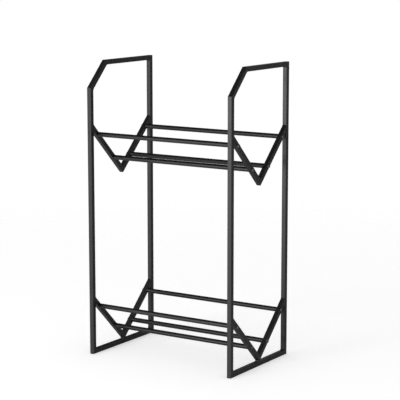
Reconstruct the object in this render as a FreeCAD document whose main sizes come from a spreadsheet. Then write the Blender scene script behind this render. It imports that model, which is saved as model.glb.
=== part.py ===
import FreeCAD, Part
import os
from math import pi

import Sketcher
from FreeCAD import Placement, Rotation, Vector

# Two-tier record rack: two side frames of mitred square tube, joined by round cross rods.
# The origin is on the floor under the middle of the rack: +X to the right, +Y to the back, +Z up.
# Each side frame lies in a plane across X and holds two V-shaped cradles, one above the other.

# Driving dimensions, in millimetres.
SIZES = {
    "overall_width": 448.0,  # between the outer faces of the side frames
    "overall_depth": 287.0,
    "overall_height": 790.0,
    "tube_size": 12.7,
    "tube_wall": 1.2,
    "tube_inner_radius": 0.3,
    "corner_cut": 69.5,  # off the front top corner, along the top and down the front
    "upper_cradle_drop": 310.5,  # from the top of the frame down to the upper cradle's foot
    "cradle_rise": 126.0,  # of a leg's lower edge, from the point of the V to the post
    "foot_flat": 1.0,  # width of the flat ground on the point of each V
    "low_rod_inset": 54.0,  # along the leg, from the point of the V
    "high_rod_inset": 27.0,  # along the leg, from the post
    "rod_diameter": 12.7,
    "rod_wall": 1.2,
    "rod_end_chamfer": 0.4,
    "insert_length": 15.0,
    "screw_diameter": 6.0,
    "screw_length": 20.0,
    "screw_tip_chamfer": 0.8,
    "head_diameter": 10.5,
    "head_height": 3.3,
    "head_rim": 0.6,
    "head_top_diameter": 5.6,
    "socket_width": 4.0,  # across the flats of the hexagon
    "socket_depth": 2.1,
    "hole_clearance": 0.5,  # on the diameter of the screw holes in the legs
    "thread_clearance": 0.05,  # between a screw and its insert, all round
}

# Lengths and places worked out from the driving dimensions.
TUBE = "sizes.tube_size"
WIDTH = "sizes.overall_width"
DEPTH = "sizes.overall_depth"
HEIGHT = "sizes.overall_height"
CUT = "sizes.corner_cut"
TUBE_OUTER_RADIUS = "(sizes.tube_inner_radius + sizes.tube_wall)"
TUBE_BORE = f"({TUBE} - 2 * sizes.tube_wall)"
POST_FACE = f"({DEPTH} / 2 - {TUBE})"  # inner face of the posts, from the middle of the frame
LEG_ANGLE = f"atan(sizes.cradle_rise / {POST_FACE})"  # of a cradle leg, up from the floor
LEG_EDGE = f"({POST_FACE} / cos({LEG_ANGLE}))"  # lower edge of a leg, from the V's sharp point
POINT_CUT = f"(sizes.foot_flat / 2 * tan({LEG_ANGLE}))"  # height that the flat takes off the V
SLANT_ACROSS = f"({TUBE} / 2 / sqrt(2))"  # half a tube at 45 degrees, measured along Y or Z
ROD_REACH = {  # along a leg's centre line, from the meeting point of the two legs
    "low": "sizes.low_rod_inset",
    "high": f"({LEG_EDGE} - sizes.high_rod_inset)",
}
SHARP_POINT = {  # height of the point that the V would have without its flat
    "upper": f"({HEIGHT} - sizes.upper_cradle_drop - {POINT_CUT})",
    "lower": f"({TUBE} - {POINT_CUT})",
}
ROD_BORE = "(sizes.rod_diameter - 2 * sizes.rod_wall)"
FRAME_SIDE = {"left": -1, "right": 1}
LEG_SIDE = {"front": -1, "rear": 1}
RIGHT_ANGLE_MITRE = "1"  # how far a mitre runs along the tube, per millimetre across it
SLANT_MITRE = "tan(22.5 deg)"
LEG_MITRE = f"tan({LEG_ANGLE})"

doc = FreeCAD.newDocument("record_rack")
sheet = doc.addObject("Spreadsheet::Sheet", "sizes")
for row, (alias, number) in enumerate(SIZES.items(), start=1):
    sheet.set(f"A{row}", alias)
    sheet.set(f"B{row}", str(number))
    sheet.setAlias(f"B{row}", alias)
doc.recompute()


def value(formula):
    return float(sheet.evalExpression(formula))


def add_body(label):
    body = doc.addObject("PartDesign::Body", label)
    body.Label = label
    return body


def add_sketch(body, plane):
    sketch = body.newObject("Sketcher::SketchObject", f"{body.Name}_sketch")
    support = [feature for feature in body.Origin.OriginFeatures if feature.Role == plane]
    sketch.AttachmentSupport = [(support[0], "")]
    sketch.MapMode = "FlatFace"
    return sketch


def constrain(sketch, formula, *constraint):
    index = sketch.addConstraint(Sketcher.Constraint(*constraint, value(formula)))
    sketch.setExpression(f"Constraints[{index}]", formula)


def fix_point(sketch, geometry, end, across, along):
    for formula, kind, axis in ((across, "DistanceX", -2), (along, "DistanceY", -1)):
        if formula == "0":
            sketch.addConstraint(Sketcher.Constraint("PointOnObject", geometry, end, axis))
        else:
            constrain(sketch, formula, kind, -1, 1, geometry, end)


def dome(start, end):
    # The arc from start to end, anticlockwise, whose centre is on the sketch's upright axis.
    height = (end.dot(end) - start.dot(start)) / 2 / (end.y - start.y)
    centre = Vector(0, height, 0)
    circle = Part.Circle(centre, Vector(0, 0, 1), start.distanceToPoint(centre))
    return Part.ArcOfCircle(circle, circle.parameter(start), circle.parameter(end))


def add_polygon(sketch, corners, domed=None):
    # Straight sides from corner to corner, apart from the side numbered domed.
    first = sketch.GeometryCount
    points = [Vector(value(across), value(along), 0) for across, along in corners]
    following = points[1:] + points[:1]
    for side, (start, end) in enumerate(zip(points, following)):
        sketch.addGeometry(dome(start, end) if side == domed else Part.LineSegment(start, end))
    for side, (across, along) in enumerate(corners):
        before = first + (side - 1) % len(corners)
        sketch.addConstraint(Sketcher.Constraint("Coincident", before, 2, first + side, 1))
        fix_point(sketch, first + side, 1, across, along)
    if domed is not None:
        sketch.addConstraint(Sketcher.Constraint("PointOnObject", first + domed, 3, -2))


def add_circle(sketch, diameter, along):
    centre = Vector(0, value(along), 0)
    circle = sketch.addGeometry(Part.Circle(centre, Vector(0, 0, 1), value(diameter) / 2))
    fix_point(sketch, circle, 3, "0", along)
    constrain(sketch, diameter, "Diameter", circle)


def add_rounded_square(sketch, width, radius):
    first = sketch.GeometryCount
    half = value(width) / 2
    flat = half - value(radius)
    sides = range(4)
    turn = Rotation(Vector(0, 0, 1), 90)
    start, end, centre = Vector(-flat, -half, 0), Vector(flat, -half, 0), Vector(flat, -flat, 0)
    for side in sides:
        sketch.addGeometry(Part.LineSegment(start, end))
        corner = Part.Circle(centre, Vector(0, 0, 1), value(radius))
        sketch.addGeometry(Part.ArcOfCircle(corner, (side - 1) * pi / 2, side * pi / 2))
        start, end, centre = (turn.multVec(point) for point in (start, end, centre))
    lines = [first + 2 * side for side in sides]
    arcs = [line + 1 for line in lines]
    for side in sides:
        level = "Vertical" if side % 2 else "Horizontal"
        sketch.addConstraint(Sketcher.Constraint(level, lines[side]))
        sketch.addConstraint(Sketcher.Constraint("Tangent", lines[side], 2, arcs[side], 1))
        sketch.addConstraint(Sketcher.Constraint("Tangent", arcs[side], 2, lines[side - 3], 1))
    for arc in arcs[1:]:
        sketch.addConstraint(Sketcher.Constraint("Equal", arcs[0], arc))
    sketch.addConstraint(Sketcher.Constraint("Equal", lines[0], lines[1]))
    sketch.addConstraint(Sketcher.Constraint("Symmetric", arcs[0], 3, arcs[2], 3, -1, 1))
    constrain(sketch, radius, "Radius", arcs[0])
    constrain(sketch, width, "DistanceX", lines[3], 1, lines[1], 1)


def pocket_across(body, sketch):
    pocket = body.newObject("PartDesign::Pocket", f"{body.Name}_cut")
    pocket.Profile = sketch
    pocket.Type = "ThroughAll"
    pocket.SideType = "Symmetric"


def put(part, rotation, **base):
    part.Placement = Placement(Vector(), rotation)
    for axis, formula in base.items():
        part.setExpression(f".Placement.Base.{axis}", formula)


def waste(at, shift, away):
    # What a saw cut takes off a tube, seen along X. The cut crosses the outer edge of the tube at
    # the place at, and shifts along the tube by shift for each millimetre towards the inner edge.
    return [
        (TUBE, f"{at} - ({shift}) * {TUBE} / 2"),
        (f"-{TUBE}", f"{at} + ({shift}) * {TUBE} * 3 / 2"),
        (f"-{TUBE}", f"{at} + ({away}) * {TUBE} * 3"),
        (TUBE, f"{at} + ({away}) * {TUBE} * 3"),
    ]


def make_tube(label, length, cuts):
    # A square tube along Z, with its outer edge towards +Y, and with cuts through it along X.
    body = add_body(label)
    section = add_sketch(body, "XY_Plane")
    add_rounded_square(section, TUBE, TUBE_OUTER_RADIUS)
    add_rounded_square(section, TUBE_BORE, "sizes.tube_inner_radius")
    pad = body.newObject("PartDesign::Pad", f"{label}_stock")
    pad.Profile = section
    pad.setExpression("Length", length)
    for cut in cuts:
        sketch = add_sketch(body, "YZ_Plane")
        add_polygon(sketch, cut)
        pocket_across(body, sketch)
    return body


def make_rail(label, length, start_mitre, end_mitre):
    start = waste("0", start_mitre, -1)
    end = waste(length, f"-{end_mitre}", 1)
    return make_tube(label, length, [start, end])


def make_frame_loop(side):
    # The loop runs along the floor to the back, up, forward, down the slant and down the front.
    half = f"{DEPTH} / 2"
    bottom = make_rail(f"{side}_bottom_rail", DEPTH, RIGHT_ANGLE_MITRE, RIGHT_ANGLE_MITRE)
    rear = make_rail(f"{side}_rear_post", HEIGHT, RIGHT_ANGLE_MITRE, RIGHT_ANGLE_MITRE)
    top = make_rail(f"{side}_top_rail", f"({DEPTH} - {CUT})", RIGHT_ANGLE_MITRE, SLANT_MITRE)
    slant = make_rail(f"{side}_slant_rail", f"({CUT} * sqrt(2))", SLANT_MITRE, SLANT_MITRE)
    front = make_rail(f"{side}_front_post", f"({HEIGHT} - {CUT})", SLANT_MITRE, RIGHT_ANGLE_MITRE)
    middle = f"{FRAME_SIDE[side]} * ({WIDTH} - {TUBE}) / 2"
    put(bottom, Rotation(0, 0, -90), x=middle, y=f"-{half}", z=f"{TUBE} / 2")
    put(rear, Rotation(0, 0, 0), x=middle, y=f"{half} - {TUBE} / 2")
    put(top, Rotation(0, 0, 90), x=middle, y=half, z=f"{HEIGHT} - {TUBE} / 2")
    slant_start = f"{CUT} - {half} + {SLANT_ACROSS}"
    put(slant, Rotation(0, 0, 135), x=middle, y=slant_start, z=f"{HEIGHT} - {SLANT_ACROSS}")
    put(front, Rotation(0, 0, 180), x=middle, y=f"{TUBE} / 2 - {half}", z=f"{HEIGHT} - {CUT}")
    return [bottom, rear, top, slant, front]


def make_leg(side, tier, end):
    # A cradle leg: mitred at the point of the V, cut upright at the post, and drilled for the rods.
    cuts = [
        waste("0", LEG_MITRE, -1),
        waste(f"sizes.foot_flat / 2 / cos({LEG_ANGLE})", f"-1 / {LEG_MITRE}", -1),
        waste(LEG_EDGE, LEG_MITRE, 1),
    ]
    length = f"({LEG_EDGE} + {TUBE} * {LEG_MITRE})"
    leg = make_tube(f"{side}_{tier}_cradle_{end}_leg", length, cuts)
    holes = add_sketch(leg, "YZ_Plane")
    for reach in ROD_REACH.values():
        along = f"{TUBE} / 2 * {LEG_MITRE} + {reach}"
        add_circle(holes, "(sizes.screw_diameter + sizes.hole_clearance)", along)
    pocket_across(leg, holes)
    half_turn = 0 if end == "rear" else 180
    put(
        leg,
        Rotation(half_turn, 0, 0),
        x=f"{FRAME_SIDE[side]} * ({WIDTH} - {TUBE}) / 2",
        y=f"{-LEG_SIDE[end]} * {TUBE} / 2 * sin({LEG_ANGLE})",
        z=f"{SHARP_POINT[tier]} + {TUBE} / 2 * cos({LEG_ANGLE})",
    )
    leg.setExpression(".Placement.Rotation.Roll", f"{LEG_ANGLE} - 90 deg")
    return leg


def rod_place(tier, end, level):
    reach = ROD_REACH[level]
    return {
        "y": f"{LEG_SIDE[end]} * {reach} * cos({LEG_ANGLE})",
        "z": f"{SHARP_POINT[tier]} + {TUBE} / 2 / cos({LEG_ANGLE}) + {reach} * sin({LEG_ANGLE})",
    }


def revolve(body, sketch):
    turned = body.newObject("PartDesign::Revolution", f"{body.Name}_turned")
    turned.Profile = sketch
    turned.ReferenceAxis = (sketch, ["V_Axis"])
    turned.Angle = 360


def make_rod(tier, end, level):
    rod = add_body(f"{tier}_{end}_{level}_rod")
    profile = add_sketch(rod, "XZ_Plane")
    length = f"({WIDTH} - 2 * {TUBE})"
    outer = "sizes.rod_diameter / 2"
    inner = f"{ROD_BORE} / 2"
    chamfer = "sizes.rod_end_chamfer"
    corners = [
        (inner, "0"),
        (f"{outer} - {chamfer}", "0"),
        (outer, chamfer),
        (outer, f"{length} - {chamfer}"),
        (f"{outer} - {chamfer}", length),
        (inner, length),
    ]
    add_polygon(profile, corners)
    revolve(rod, profile)
    put(rod, Rotation(0, 90, 0), x=f"{TUBE} - {WIDTH} / 2", **rod_place(tier, end, level))
    return rod


def make_insert():
    insert = add_body("rod_insert")
    profile = add_sketch(insert, "XZ_Plane")
    thread = "(sizes.screw_diameter / 2 + sizes.thread_clearance)"
    outer = f"{ROD_BORE} / 2"
    length = "-sizes.insert_length"
    add_polygon(profile, [(thread, "0"), (outer, "0"), (outer, length), (thread, length)])
    revolve(insert, profile)
    return insert


def make_screw():
    # A button-head socket screw that points down, with the underside of its head at Z 0.
    screw = add_body("rod_screw")
    profile = add_sketch(screw, "XZ_Plane")
    shank = "sizes.screw_diameter / 2"
    tip = "-sizes.screw_length"
    chamfer = "sizes.screw_tip_chamfer"
    rim = "sizes.head_diameter / 2"
    top = "sizes.head_top_diameter / 2"
    corners = [
        ("0", tip),
        (f"{shank} - {chamfer}", tip),
        (shank, f"{tip} + {chamfer}"),
        (shank, "0"),
        (rim, "0"),
        (rim, "sizes.head_rim"),
        (top, "sizes.head_height"),
        ("0", "sizes.head_height"),
    ]
    add_polygon(profile, corners, domed=corners.index((rim, "sizes.head_rim")))
    revolve(screw, profile)
    socket = add_sketch(screw, "XY_Plane")
    socket.setExpression("AttachmentOffset.Base.z", "sizes.head_height")
    point = "sizes.socket_width / sqrt(3)"
    flat = "sizes.socket_width / 2"
    hexagon = [
        (point, "0"),
        (f"{point} / 2", flat),
        (f"-{point} / 2", flat),
        (f"-{point}", "0"),
        (f"-{point} / 2", f"-{flat}"),
        (f"{point} / 2", f"-{flat}"),
    ]
    add_polygon(socket, hexagon)
    pocket = screw.newObject("PartDesign::Pocket", "rod_screw_socket")
    pocket.Profile = socket
    pocket.setExpression("Length", "sizes.socket_depth")
    return screw


def make_set(label, piece, side, tier, outer_end):
    # One piece at each rod end of a tier on one side, turned so that its +Z points outward.
    links = []
    for end in LEG_SIDE:
        for level in ROD_REACH:
            link = doc.addObject("App::Link", f"{label}_{end}_{level}")
            link.LinkedObject = piece
            outward = Rotation(0, 90 * FRAME_SIDE[side], 0)
            put(link, outward, x=f"{FRAME_SIDE[side]} * ({outer_end})", **rod_place(tier, end, level))
            links.append(link)
    group = doc.addObject("Part::Compound", label)
    group.Label = label
    group.Links = links
    return group


insert = make_insert()
screw = make_screw()
parts = []
for side in FRAME_SIDE:
    parts += make_frame_loop(side)
    for tier in SHARP_POINT:
        parts += [make_leg(side, tier, end) for end in LEG_SIDE]
        parts.append(make_set(f"{side}_{tier}_screws", screw, side, tier, f"{WIDTH} / 2"))
        rod_end = f"{WIDTH} / 2 - {TUBE}"
        parts.append(make_set(f"{side}_{tier}_rod_inserts", insert, side, tier, rod_end))
for tier in SHARP_POINT:
    for end in LEG_SIDE:
        parts += [make_rod(tier, end, level) for level in ROD_REACH]
doc.recompute()

for item in doc.Objects:
    if {"Invalid", "Error"} & set(item.State):
        raise RuntimeError(f"{item.Label} is {item.State}")
for pocket in doc.findObjects("PartDesign::Pocket"):
    if pocket.Shape.Volume >= pocket.BaseFeature.Shape.Volume:
        raise RuntimeError(f"{pocket.Label} takes nothing off")
for part in parts:
    if part.Shape.isNull() or not part.Shape.isValid():
        raise RuntimeError(f"{part.Label} has no valid shape")

os.makedirs("parts", exist_ok=True)
for part in parts:
    part.Shape.exportStep(f"parts/{part.Label}.step")
    print(part.Label, len(part.Shape.Solids), round(part.Shape.Volume, 1))
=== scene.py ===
import bpy
import math
import numpy as np
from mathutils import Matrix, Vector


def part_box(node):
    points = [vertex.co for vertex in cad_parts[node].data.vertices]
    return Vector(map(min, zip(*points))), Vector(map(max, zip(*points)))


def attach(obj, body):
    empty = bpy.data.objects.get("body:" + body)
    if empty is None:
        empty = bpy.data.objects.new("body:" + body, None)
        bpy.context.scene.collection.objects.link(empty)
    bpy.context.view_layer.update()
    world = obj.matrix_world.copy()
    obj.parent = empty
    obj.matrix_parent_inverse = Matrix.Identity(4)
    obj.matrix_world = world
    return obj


# Two-tier record rack: coated side frames, cross rods and screws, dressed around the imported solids.
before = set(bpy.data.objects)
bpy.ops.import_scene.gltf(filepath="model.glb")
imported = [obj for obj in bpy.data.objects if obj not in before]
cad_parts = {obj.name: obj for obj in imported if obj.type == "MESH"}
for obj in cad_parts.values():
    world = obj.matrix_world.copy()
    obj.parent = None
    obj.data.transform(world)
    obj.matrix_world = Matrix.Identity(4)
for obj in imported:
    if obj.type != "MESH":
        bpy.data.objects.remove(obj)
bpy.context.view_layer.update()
print("frame loaded with", len(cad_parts), "nodes")


# Node helpers. Most add one node and give back the socket that the next one needs.
def startMaterial(name):
    material = bpy.data.materials.new(name)
    material.use_nodes = True
    tree = material.node_tree
    tree.nodes.clear()
    shader = tree.nodes.new("ShaderNodeBsdfPrincipled")
    output = tree.nodes.new("ShaderNodeOutputMaterial")
    tree.links.new(shader.outputs["BSDF"], output.inputs["Surface"])
    return material, tree, shader


def setInputs(tree, node, inputs):
    for key, value in inputs.items():
        if isinstance(value, bpy.types.NodeSocket):
            tree.links.new(value, node.inputs[key])
        else:
            node.inputs[key].default_value = value


def addNode(tree, kind, inputs, settings=()):
    node = tree.nodes.new(kind)
    for name, value in dict(settings).items():
        setattr(node, name, value)
    setInputs(tree, node, inputs)
    return node


def addPlace(tree):
    return tree.nodes.new("ShaderNodeTexCoord").outputs["Object"]


def addNoise(tree, place, scale, detail=2.0):
    noise = addNode(tree, "ShaderNodeTexNoise", {"Vector": place, "Scale": scale, "Detail": detail})
    return noise.outputs["Fac"]


def addStretch(tree, place, scale):
    return addNode(tree, "ShaderNodeMapping", {"Vector": place, "Scale": scale}).outputs["Vector"]


def addRange(tree, value, source, target=(0, 1)):
    inputs = {"Value": value, "From Min": source[0], "From Max": source[1]}
    inputs.update({"To Min": target[0], "To Max": target[1]})
    return addNode(tree, "ShaderNodeMapRange", inputs).outputs["Result"]


def addMath(tree, operation, first, second):
    node = addNode(tree, "ShaderNodeMath", {0: first, 1: second}, {"operation": operation})
    return node.outputs["Value"]


def addBlend(tree, factor, first, second):
    inputs = {"Factor": factor, "A": first, "B": second}
    return addNode(tree, "ShaderNodeMix", inputs, {"data_type": "RGBA"}).outputs["Result"]


def addBump(tree, height, strength, depth, under=None):
    inputs = {"Height": height, "Strength": strength, "Distance": depth}
    if under:
        inputs["Normal"] = under
    return addNode(tree, "ShaderNodeBump", inputs).outputs["Normal"]


# Side frames: satin black powder coat with a fine orange peel whose hollows get painted shade,
# and lighter on the tube edges, partly from a thinner coat and partly as a painted highlight.
frameCoat = {
    # painted shade: near black colour for the hollows of the orange peel
    "peelHollowShadeColour": (0.0007, 0.0007, 0.0007, 1),
    "colour": (0.0145, 0.0145, 0.015, 1),
    "cloudColour": (0.0185, 0.0185, 0.019, 1),
    # lighter colour on the tube edges: partly a thinner coat, partly a painted highlight
    "edgeThinCoatAndHighlightColour": (0.0225, 0.0225, 0.023, 1),
    "edgeThinCoatAndHighlightShare": (0.45, 1.0),
    "specular": 0.42,
    "roughness": (0.36, 0.46),
    "cloudScale": 14,
    "cloudDetail": 4,
    "cloudSpread": (0.35, 0.65),
    "peelScale": 620,
    "peelSpread": (0.3, 0.7),
    "peelStrength": 0.6,
    "peelDepth": 0.00014,
    "grainScale": 2600,
    "grainDetail": 1,
    "grainStrength": 0.3,
    "grainDepth": 0.00004,
}


# Mask for the lighter tube edges, which carry partly a thinner coat and partly a painted highlight.
def addTubeEdge(tree):
    # On a tube's long edge the normal lies between the X axis and the frame's plane: 4 (nx^2 - nx^4).
    normal = tree.nodes.new("ShaderNodeTexCoord").outputs["Normal"]
    facing = addNode(tree, "ShaderNodeSeparateXYZ", {"Vector": normal}).outputs["X"]
    square = addMath(tree, "MULTIPLY", facing, facing)
    between = addMath(tree, "SUBTRACT", square, addMath(tree, "MULTIPLY", square, square))
    return addMath(tree, "MULTIPLY", between, 4.0)


def makeFrameCoat():
    material, tree, shader = startMaterial("satinFrameCoat")
    place = addPlace(tree)
    cloud = addNoise(tree, place, frameCoat["cloudScale"], frameCoat["cloudDetail"])
    cloud = addRange(tree, cloud, frameCoat["cloudSpread"])
    peel = addNoise(tree, place, frameCoat["peelScale"])
    grain = addNoise(tree, place, frameCoat["grainScale"], frameCoat["grainDetail"])
    # The tube edges are painted lighter: partly a thinner coat, partly a painted highlight.
    edge = addRange(tree, cloud, (0, 1), frameCoat["edgeThinCoatAndHighlightShare"])
    edge = addMath(tree, "MULTIPLY", addTubeEdge(tree), edge)
    crest = addBlend(tree, cloud, frameCoat["colour"], frameCoat["cloudColour"])
    # The peel's hollows are painted darker than its crests, a painted shade that shows the peel under
    # even light.
    height = addRange(tree, peel, frameCoat["peelSpread"])
    colour = addBlend(tree, height, frameCoat["peelHollowShadeColour"], crest)
    normal = addBump(tree, peel, frameCoat["peelStrength"], frameCoat["peelDepth"])
    normal = addBump(tree, grain, frameCoat["grainStrength"], frameCoat["grainDepth"], normal)
    setInputs(tree, shader, {
        "Base Color": addBlend(tree, edge, colour, frameCoat["edgeThinCoatAndHighlightColour"]),
        "Roughness": addRange(tree, cloud, (0, 1), frameCoat["roughness"]),
        "Specular IOR Level": frameCoat["specular"],
        "Normal": normal,
    })
    return material


# Cross rods: the same coat over smooth drawn tube, so a little glossier, with long faint streaks.
rodCoat = {
    "colour": (0.002, 0.002, 0.0022, 1),
    "streakColour": (0.0073, 0.0073, 0.0076, 1),
    "specular": 0.43,
    "roughness": (0.32, 0.42),
    "streakScale": 260,
    "streakDetail": 3,
    "streakSpread": (0.3, 0.7),
    "streakStretch": (0.06, 1, 1),
    "peelScale": 760,
    "peelStrength": 0.3,
    "peelDepth": 0.00006,
}


def makeRodCoat():
    material, tree, shader = startMaterial("satinRodCoat")
    place = addPlace(tree)
    alongRod = addStretch(tree, place, rodCoat["streakStretch"])
    streak = addNoise(tree, alongRod, rodCoat["streakScale"], rodCoat["streakDetail"])
    streak = addRange(tree, streak, rodCoat["streakSpread"])
    peel = addNoise(tree, place, rodCoat["peelScale"])
    setInputs(tree, shader, {
        "Base Color": addBlend(tree, streak, rodCoat["colour"], rodCoat["streakColour"]),
        "Roughness": addRange(tree, streak, (0, 1), rodCoat["roughness"]),
        "Specular IOR Level": rodCoat["specular"],
        "Normal": addBump(tree, peel, rodCoat["peelStrength"], rodCoat["peelDepth"]),
    })
    return material


# Screws: black oxide over steel, mottled, with a fine grain.
screwBlack = {
    "colour": (0.10, 0.10, 0.105, 1),
    "mottleColour": (0.17, 0.165, 0.16, 1),
    "metallic": 0.9,
    "roughness": (0.22, 0.36),
    "mottleScale": 420,
    "mottleDetail": 4,
    "mottleSpread": (0.35, 0.7),
    "grainScale": 3200,
    "grainStrength": 0.25,
    "grainDepth": 0.00003,
}


def makeScrewBlack():
    material, tree, shader = startMaterial("blackOxideScrew")
    place = addPlace(tree)
    mottle = addNoise(tree, place, screwBlack["mottleScale"], screwBlack["mottleDetail"])
    mottle = addRange(tree, mottle, screwBlack["mottleSpread"])
    grain = addNoise(tree, place, screwBlack["grainScale"])
    setInputs(tree, shader, {
        "Base Color": addBlend(tree, mottle, screwBlack["colour"], screwBlack["mottleColour"]),
        "Metallic": screwBlack["metallic"],
        "Roughness": addRange(tree, mottle, (0, 1), screwBlack["roughness"]),
        "Normal": addBump(tree, grain, screwBlack["grainStrength"], screwBlack["grainDepth"]),
    })
    return material


# Threaded inserts inside the rod ends: turned zinc-plated steel.
insertZinc = {
    "colour": (0.55, 0.56, 0.58, 1),
    "bloomColour": (0.42, 0.43, 0.46, 1),
    "metallic": 1.0,
    "roughness": (0.28, 0.45),
    "bloomScale": 300,
    "bloomDetail": 3,
    "bloomSpread": (0.3, 0.7),
    "turnedScale": 1800,
    "turnedDetail": 1,
    "turnedStretch": (1, 0.1, 0.1),
    "turnedStrength": 0.3,
    "turnedDepth": 0.00004,
}


def makeInsertZinc():
    material, tree, shader = startMaterial("turnedZincInsert")
    place = addPlace(tree)
    bloom = addNoise(tree, place, insertZinc["bloomScale"], insertZinc["bloomDetail"])
    bloom = addRange(tree, bloom, insertZinc["bloomSpread"])
    aroundRod = addStretch(tree, place, insertZinc["turnedStretch"])
    turned = addNoise(tree, aroundRod, insertZinc["turnedScale"], insertZinc["turnedDetail"])
    setInputs(tree, shader, {
        "Base Color": addBlend(tree, bloom, insertZinc["colour"], insertZinc["bloomColour"]),
        "Metallic": insertZinc["metallic"],
        "Roughness": addRange(tree, bloom, (0, 1), insertZinc["roughness"]),
        "Normal": addBump(tree, turned, insertZinc["turnedStrength"], insertZinc["turnedDepth"]),
    })
    return material


finishes = {
    "frame_coat": makeFrameCoat(),
    "rod_coat": makeRodCoat(),
    "screw_black": makeScrewBlack(),
    "insert_zinc": makeInsertZinc(),
}
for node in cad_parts.values():
    for materialSlot in node.material_slots:
        materialSlot.material = finishes[materialSlot.material.name]
print("finishes on the packed nodes:", ", ".join(finishes))


# Weld beads where the tubes of a side frame meet, under the same coat. Lengths in metres.
weldBead = {
    "fillet": 0.0022,  # along each face, from the corner
    "narrowFillet": 0.0036,  # the same in the narrow corners beside a lower cradle's foot
    "filletBulge": 0.1,  # of the bead's half width
    "filletEnd": 6,  # the higher, the later the bead shrinks towards its ends
    "ringHalfWidth": 0.002,  # around the end of a leg
    "ringHeight": 0.0008,
    "ringSink": 0.00045,  # how deep the ring's middle lies under the flush sides
    "ringSquareness": 8,
    "ringSteps": 1440,  # along the outline, before it is spaced evenly
    "tubeEdge": 0.0015,  # radius of the tubes' long edges
    "ripplePitch": 0.0012,
    "rippleHeight": 0.00005,
    "rippleBow": 0.4,  # of the pitch
    "rowsPerRipple": 6,
    "columns": 16,
}


def beadRipple(distance, turn):
    # Bowed ripples along the bead: cos of 2 pi (distance / pitch + bow cos^2 turn).
    phase = distance / weldBead["ripplePitch"] + weldBead["rippleBow"] * np.cos(turn) ** 2
    return weldBead["rippleHeight"] * np.cos(2 * np.pi * phase)


def aroundBead():
    return np.linspace(0, 2 * np.pi, weldBead["columns"], endpoint=False)[None, :]


def filletShell(start, end, firstFace, secondFace, reach):
    # A bead in the corner between two faces, given as directions away from the line of the corner. On
    # the chord between the faces each section has a low half ellipse outward and a deep one inward,
    # which reaches the corner. Along the bead t runs from -1 to 1, and the sections shrink into the
    # corner towards both ends, as the cube root of 1 - t^n.
    start, end = np.array(start), np.array(end)
    first, second = np.array(firstFace), np.array(secondFace)
    out = (first + second) / np.linalg.norm(first + second)
    across = (second - first) / np.linalg.norm(second - first)
    lift, halfWidth = reach * (first @ out), reach * (second @ across)
    length = np.linalg.norm(end - start)
    rows = weldBead["rowsPerRipple"] * math.ceil(length / weldBead["ripplePitch"])
    t = np.sin(np.linspace(-np.pi / 2, np.pi / 2, rows + 2)[1:-1])[:, None]
    a = aroundBead()
    taper = np.cbrt(1 - t ** weldBead["filletEnd"])
    crown = weldBead["filletBulge"] * halfWidth + beadRipple(t * length / 2, a)
    outward = taper * (lift + np.where(np.sin(a) > 0, crown, lift) * np.sin(a))
    sideways = taper * halfWidth * np.cos(a)
    along = (start + end) / 2 + t[..., None] * (end - start) / 2
    rings = along + outward[..., None] * out + sideways[..., None] * across
    return rings, np.stack([start, end])


def ringShell(middle, halfWide, halfHigh, toPost):
    # An elliptic bead carried around the end of a leg. The path is a superellipse in the plane of
    # the post's face, (wide cos u^(2/n), high sin u^(2/n)), spaced evenly along its length.
    u = np.linspace(0, 2 * np.pi, weldBead["ringSteps"] + 1)
    corner = np.stack([np.cos(u), np.sin(u)], -1)
    rounded = np.sign(corner) * np.abs(corner) ** (2 / weldBead["ringSquareness"])
    outline = rounded * [halfWide, halfHigh]
    steps = np.linalg.norm(np.diff(outline, axis=0), axis=1)
    travelled = np.concatenate([[0], np.cumsum(steps)])
    rows = weldBead["rowsPerRipple"] * round(travelled[-1] / weldBead["ripplePitch"])
    distance = np.linspace(0, travelled[-1], rows, endpoint=False)
    wide, high = (np.interp(distance, travelled, outline[:, axis]) for axis in range(2))
    line = np.stack([wide, 0 * wide, high], -1)
    ahead = np.roll(line, -1, axis=0) - np.roll(line, 1, axis=0)
    out = np.stack([ahead[:, 2], 0 * wide, -ahead[:, 0]], -1)
    out /= np.linalg.norm(out, axis=1)[:, None]
    toPost = np.array(toPost)
    sideShare = out[:, :1] ** 2  # 1 on the flush sides, 0 above and below the leg
    line -= weldBead["ringSink"] * sideShare * out
    line += weldBead["tubeEdge"] / 2 * sideShare * toPost
    a = aroundBead()
    outward = (weldBead["ringHeight"] + beadRipple(distance[:, None], a)) * np.sin(a)
    sideways = weldBead["ringHalfWidth"] * np.cos(a)
    along = (np.array(middle) + line)[:, None]
    rings = along + outward[..., None] * out[:, None] + sideways[..., None] * toPost
    return rings, None


def shellFaces(rings, poles):
    # A shell's sections are joined into quads. A ring closes on itself, and the ends of a fillet are
    # closed by fans about its two end points.
    rows, columns = rings.shape[:2]
    points = rings.reshape(-1, 3)
    index = np.arange(rows * columns).reshape(rows, columns)
    beside = np.roll(index, -1, axis=1)
    groups = [np.stack([index[:-1], beside[:-1], beside[1:], index[1:]], -1).reshape(-1, 4)]
    if poles is None:
        groups.append(np.stack([index[-1], beside[-1], beside[0], index[0]], -1))
    else:
        groups.append(np.stack([np.full(columns, len(points)), beside[0], index[0]], -1))
        groups.append(np.stack([np.full(columns, len(points) + 1), index[-1], beside[-1]], -1))
        points = np.vstack([points, poles])
    # The enclosed volume is negative where the faces look inward.
    volume = 0
    for group in groups:
        first, second, third, last = (points[group[:, corner]] for corner in (0, 1, 2, -1))
        volume += np.sum(first * (np.cross(second, third) + np.cross(third, last)))
    turn = 1 if volume > 0 else -1
    return points, [group[:, ::turn] for group in groups]


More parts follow.
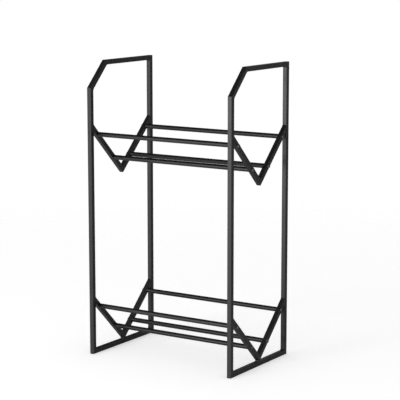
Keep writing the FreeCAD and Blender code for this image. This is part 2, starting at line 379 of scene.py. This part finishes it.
def addWeld(name, shells):
    points, faces, used = [], [], 0
    for rings, poles in shells:
        shellPoints, groups = shellFaces(rings, poles)
        for group in groups:
            faces += (group + used).tolist()
        points.append(shellPoints)
        used += len(shellPoints)
    mesh = bpy.data.meshes.new(name)
    mesh.from_pydata(np.vstack(points).tolist(), [], faces)
    mesh.polygons.foreach_set("use_smooth", np.ones(len(mesh.polygons), bool))
    mesh.materials.append(finishes["frame_coat"])
    weld = bpy.data.objects.new(name, mesh)
    bpy.context.scene.collection.objects.link(weld)
    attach(weld, "root")


def nodeBox(name):
    return [np.array(corner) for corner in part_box(name)]


def weldSideFrame(side):
    rearLow, rearHigh = nodeBox(f"{side}_rear_post")
    frontHigh = nodeBox(f"{side}_front_post")[1]
    topLow = nodeBox(f"{side}_top_rail")[0]
    bottomTop = nodeBox(f"{side}_bottom_rail")[1][2]
    left, right = rearLow[0], rearHigh[0]
    tube = right - left
    frontFace, rearFace = frontHigh[1], rearLow[1]
    up, down, forward, back = (0, 0, 1), (0, 0, -1), (0, -1, 0), (0, 1, 0)

    def filletAcross(y, z, firstFace, secondFace, reach=weldBead["fillet"]):
        return filletShell((left, y, z), (right, y, z), firstFace, secondFace, reach)

    # Inner corners of the mitred loop. The slanted rail turns through 45 degrees at both ends.
    slant = math.radians(45)
    slantUp = (0, math.cos(slant), math.sin(slant))
    slantDown = (0, -math.cos(slant), -math.sin(slant))
    mitre = tube * math.tan(slant / 2)
    corners = {
        "rear_bottom": (rearFace, bottomTop, forward, up),
        "front_bottom": (frontFace, bottomTop, back, up),
        "rear_top": (rearFace, topLow[2], forward, down),
        "slant_top": (topLow[1] + mitre, topLow[2], back, slantDown),
        "slant_front": (frontFace, frontHigh[2] - mitre, slantUp, down),
    }
    for corner, facts in corners.items():
        addWeld(f"{side}_{corner}_weld", [filletAcross(*facts)])

    # Around each leg's end at its post, and in the point of each V. The legs rise as their rods do.
    for tier in ("upper", "lower"):
        lowRod, highRod = (sum(nodeBox(f"{tier}_rear_{level}_rod")) / 2 for level in ("low", "high"))
        angle = math.atan2(highRod[2] - lowRod[2], highRod[1] - lowRod[1])
        legLow, legHigh = nodeBox(f"{side}_{tier}_cradle_rear_leg")
        upright = tube / math.cos(angle)  # the height of a leg that is cut upright
        for end, face, toPost in (("front", frontFace, forward), ("rear", rearFace, back)):
            middle = ((left + right) / 2, face, legHigh[2] - upright / 2)
            ring = ringShell(middle, tube / 2, upright / 2, toPost)
            addWeld(f"{side}_{tier}_{end}_leg_weld", [ring])
        inside = legHigh[2] - rearFace * math.tan(angle)
        rearUp = (0, math.cos(angle), math.sin(angle))
        frontUp = (0, -math.cos(angle), math.sin(angle))
        addWeld(f"{side}_{tier}_point_weld", [filletAcross(0, inside, frontUp, rearUp)])

    # Both sides of the lower cradle's foot, on the bottom rail.
    halfFlat = (legLow[2] - inside + upright) / math.tan(angle)
    behind = filletAcross(halfFlat, legLow[2], back, rearUp, weldBead["narrowFillet"])
    before = filletAcross(-halfFlat, legLow[2], forward, frontUp, weldBead["narrowFillet"])
    addWeld(f"{side}_foot_weld", [behind, before])


for frameSide in ("left", "right"):
    weldSideFrame(frameSide)
print("weld beads made on both side frames")


# Camera at the photograph's place: the eye in metres, the turn and dip in degrees.
cameraPlace = {
    "eye": (2.1849, -3.3240, 1.0871),
    "turn": 32.862,
    "dip": 9.497,
    "lens": 136.44,
    "sensor": 36.0,
}


def addCamera():
    lens = bpy.data.cameras.new("photoCamera")
    lens.sensor_width = cameraPlace["sensor"]
    lens.lens = cameraPlace["lens"]
    camera = bpy.data.objects.new("photoCamera", lens)
    camera.location = cameraPlace["eye"]
    camera.rotation_euler = (math.radians(90 - cameraPlace["dip"]), 0, math.radians(cameraPlace["turn"]))
    bpy.context.scene.collection.objects.link(camera)
    bpy.context.scene.camera = camera


# Studio: a pale round floor that fades out into a white world, a soft lamp, and grey and black cards
# that only reflections see.
studio = {
    "floorRadius": 3.0,
    "floorRings": 12,
    "floorSpokes": 96,
    "floorFade": (0.9, 2.6),
    "floorColour": (0.9, 0.9, 0.9, 1),
    "floorRoughness": 0.8,
    "floorSpecular": 0.1,
    "floorGlow": 0.43,  # what the lit floor lacks to look white
    "white": (1, 1, 1, 1),
    "worldFill": 0.58,
    "worldSeen": 1.0,
}
keyLamp = {
    "place": (-1.0, -3.2, 0.6),
    "aim": (0, 0, 0.45),
    "size": (1.0, 0.8),
    "power": 47,
}
cards = {
    "sideCard": {
        "middle": (0.36, 0.20, 0.65),
        "across": (0.755, -0.490, 0),  # half the card
        "upward": (0, 0, 0.65),
        "colour": (0.34, 0.34, 0.34, 1),
    },
    "floorCard": {
        "middle": (0.05, 0.86, 0.002),
        "across": (1.70, 0, 0),
        "upward": (0, 1.0, 0),
        "colour": (0.70, 0.70, 0.70, 1),
    },
    "backCard": {
        "middle": (-1.07, 1.66, 0.90),
        "across": (1.33, 0.86, 0),
        "upward": (0, 0, 0.90),
        "colour": (0.02, 0.02, 0.02, 1),
    },
    "overheadCard": {
        "middle": (0, 0, 1.90),
        "across": (2.0, 0, 0),
        "upward": (0, 2.0, 0),
        "colour": (0.02, 0.02, 0.02, 1),
    },
}


def addStagePiece(name, points, faces, material):
    mesh = bpy.data.meshes.new(name)
    mesh.from_pydata(points.tolist(), [], faces)
    mesh.materials.append(material)
    piece = bpy.data.objects.new(name, mesh)
    bpy.context.scene.collection.objects.link(piece)
    return piece


def addSeenRays(tree):
    rays = tree.nodes.new("ShaderNodeLightPath").outputs
    seen = addMath(tree, "MAXIMUM", rays["Is Camera Ray"], rays["Is Glossy Ray"])
    return addMath(tree, "MAXIMUM", seen, rays["Is Transmission Ray"])


def makeFloorFinish():
    material, tree, shader = startMaterial("paleFloor")
    length = addNode(tree, "ShaderNodeVectorMath", {0: addPlace(tree)}, {"operation": "LENGTH"})
    setInputs(tree, shader, {
        "Base Color": studio["floorColour"],
        "Roughness": studio["floorRoughness"],
        "Specular IOR Level": studio["floorSpecular"],
        "Emission Color": studio["white"],
        "Emission Strength": addMath(tree, "MULTIPLY", addSeenRays(tree), studio["floorGlow"]),
        "Alpha": addRange(tree, length.outputs["Value"], studio["floorFade"], (1, 0)),
    })
    return material


def addFloor():
    # Rings of points at radius r and angle a, (r cos a, r sin a, 0), and one point in the middle.
    rings, spokes = studio["floorRings"], studio["floorSpokes"]
    r = np.linspace(0, studio["floorRadius"], rings + 1)[1:, None]
    a = np.linspace(0, 2 * np.pi, spokes, endpoint=False)[None, :]
    points = np.stack([r * np.cos(a), r * np.sin(a), 0 * r * a], -1).reshape(-1, 3)
    index = np.arange(rings * spokes).reshape(rings, spokes)
    beside = np.roll(index, -1, axis=1)
    quads = np.stack([index[:-1], index[1:], beside[1:], beside[:-1]], -1).reshape(-1, 4)
    fan = np.stack([np.full(spokes, len(points)), index[0], beside[0]], -1)
    points = np.vstack([points, np.zeros((1, 3))])
    addStagePiece("studioFloor", points, quads.tolist() + fan.tolist(), makeFloorFinish())


def addCard(name, facts):
    # The corners are the middle plus or minus the card's half across and half upward.
    material, tree, shader = startMaterial(name)
    setInputs(tree, shader, {"Base Color": facts["colour"]})
    signs = np.array([[-1, -1], [1, -1], [1, 1], [-1, 1]])
    points = np.array(facts["middle"]) + signs @ np.array([facts["across"], facts["upward"]])
    card = addStagePiece(name, points, [[0, 1, 2, 3]], material)
    card.visible_camera = False
    card.visible_diffuse = False
    card.visible_transmission = False
    card.visible_shadow = False


def addWorld():
    world = bpy.data.worlds.new("whiteStudio")
    bpy.context.scene.world = world
    world.use_nodes = True
    tree = world.node_tree
    tree.nodes.clear()
    shade = "ShaderNodeBackground"
    fill = addNode(tree, shade, {"Color": studio["white"], "Strength": studio["worldFill"]})
    seen = addNode(tree, shade, {"Color": studio["white"], "Strength": studio["worldSeen"]})
    inputs = {0: addSeenRays(tree), 1: fill.outputs[0], 2: seen.outputs[0]}
    either = addNode(tree, "ShaderNodeMixShader", inputs)
    addNode(tree, "ShaderNodeOutputWorld", {"Surface": either.outputs[0]})


def addKeyLamp():
    light = bpy.data.lights.new("keyLamp", "AREA")
    light.shape = "RECTANGLE"
    light.size, light.size_y = keyLamp["size"]
    light.energy = keyLamp["power"]
    holder = bpy.data.objects.new("keyLamp", light)
    holder.location = keyLamp["place"]
    x, y, z = np.array(keyLamp["aim"]) - np.array(keyLamp["place"])
    holder.rotation_euler = (math.atan2(math.hypot(x, y), -z), 0, math.atan2(-x, y))
    holder.visible_camera = False
    bpy.context.scene.collection.objects.link(holder)


addCamera()
addFloor()
for cardName, cardFacts in cards.items():
    addCard(cardName, cardFacts)
addWorld()
addKeyLamp()
bpy.context.scene.view_settings.view_transform = "Standard"
print("camera, floor, world, lamp and", len(cards), "cards set")
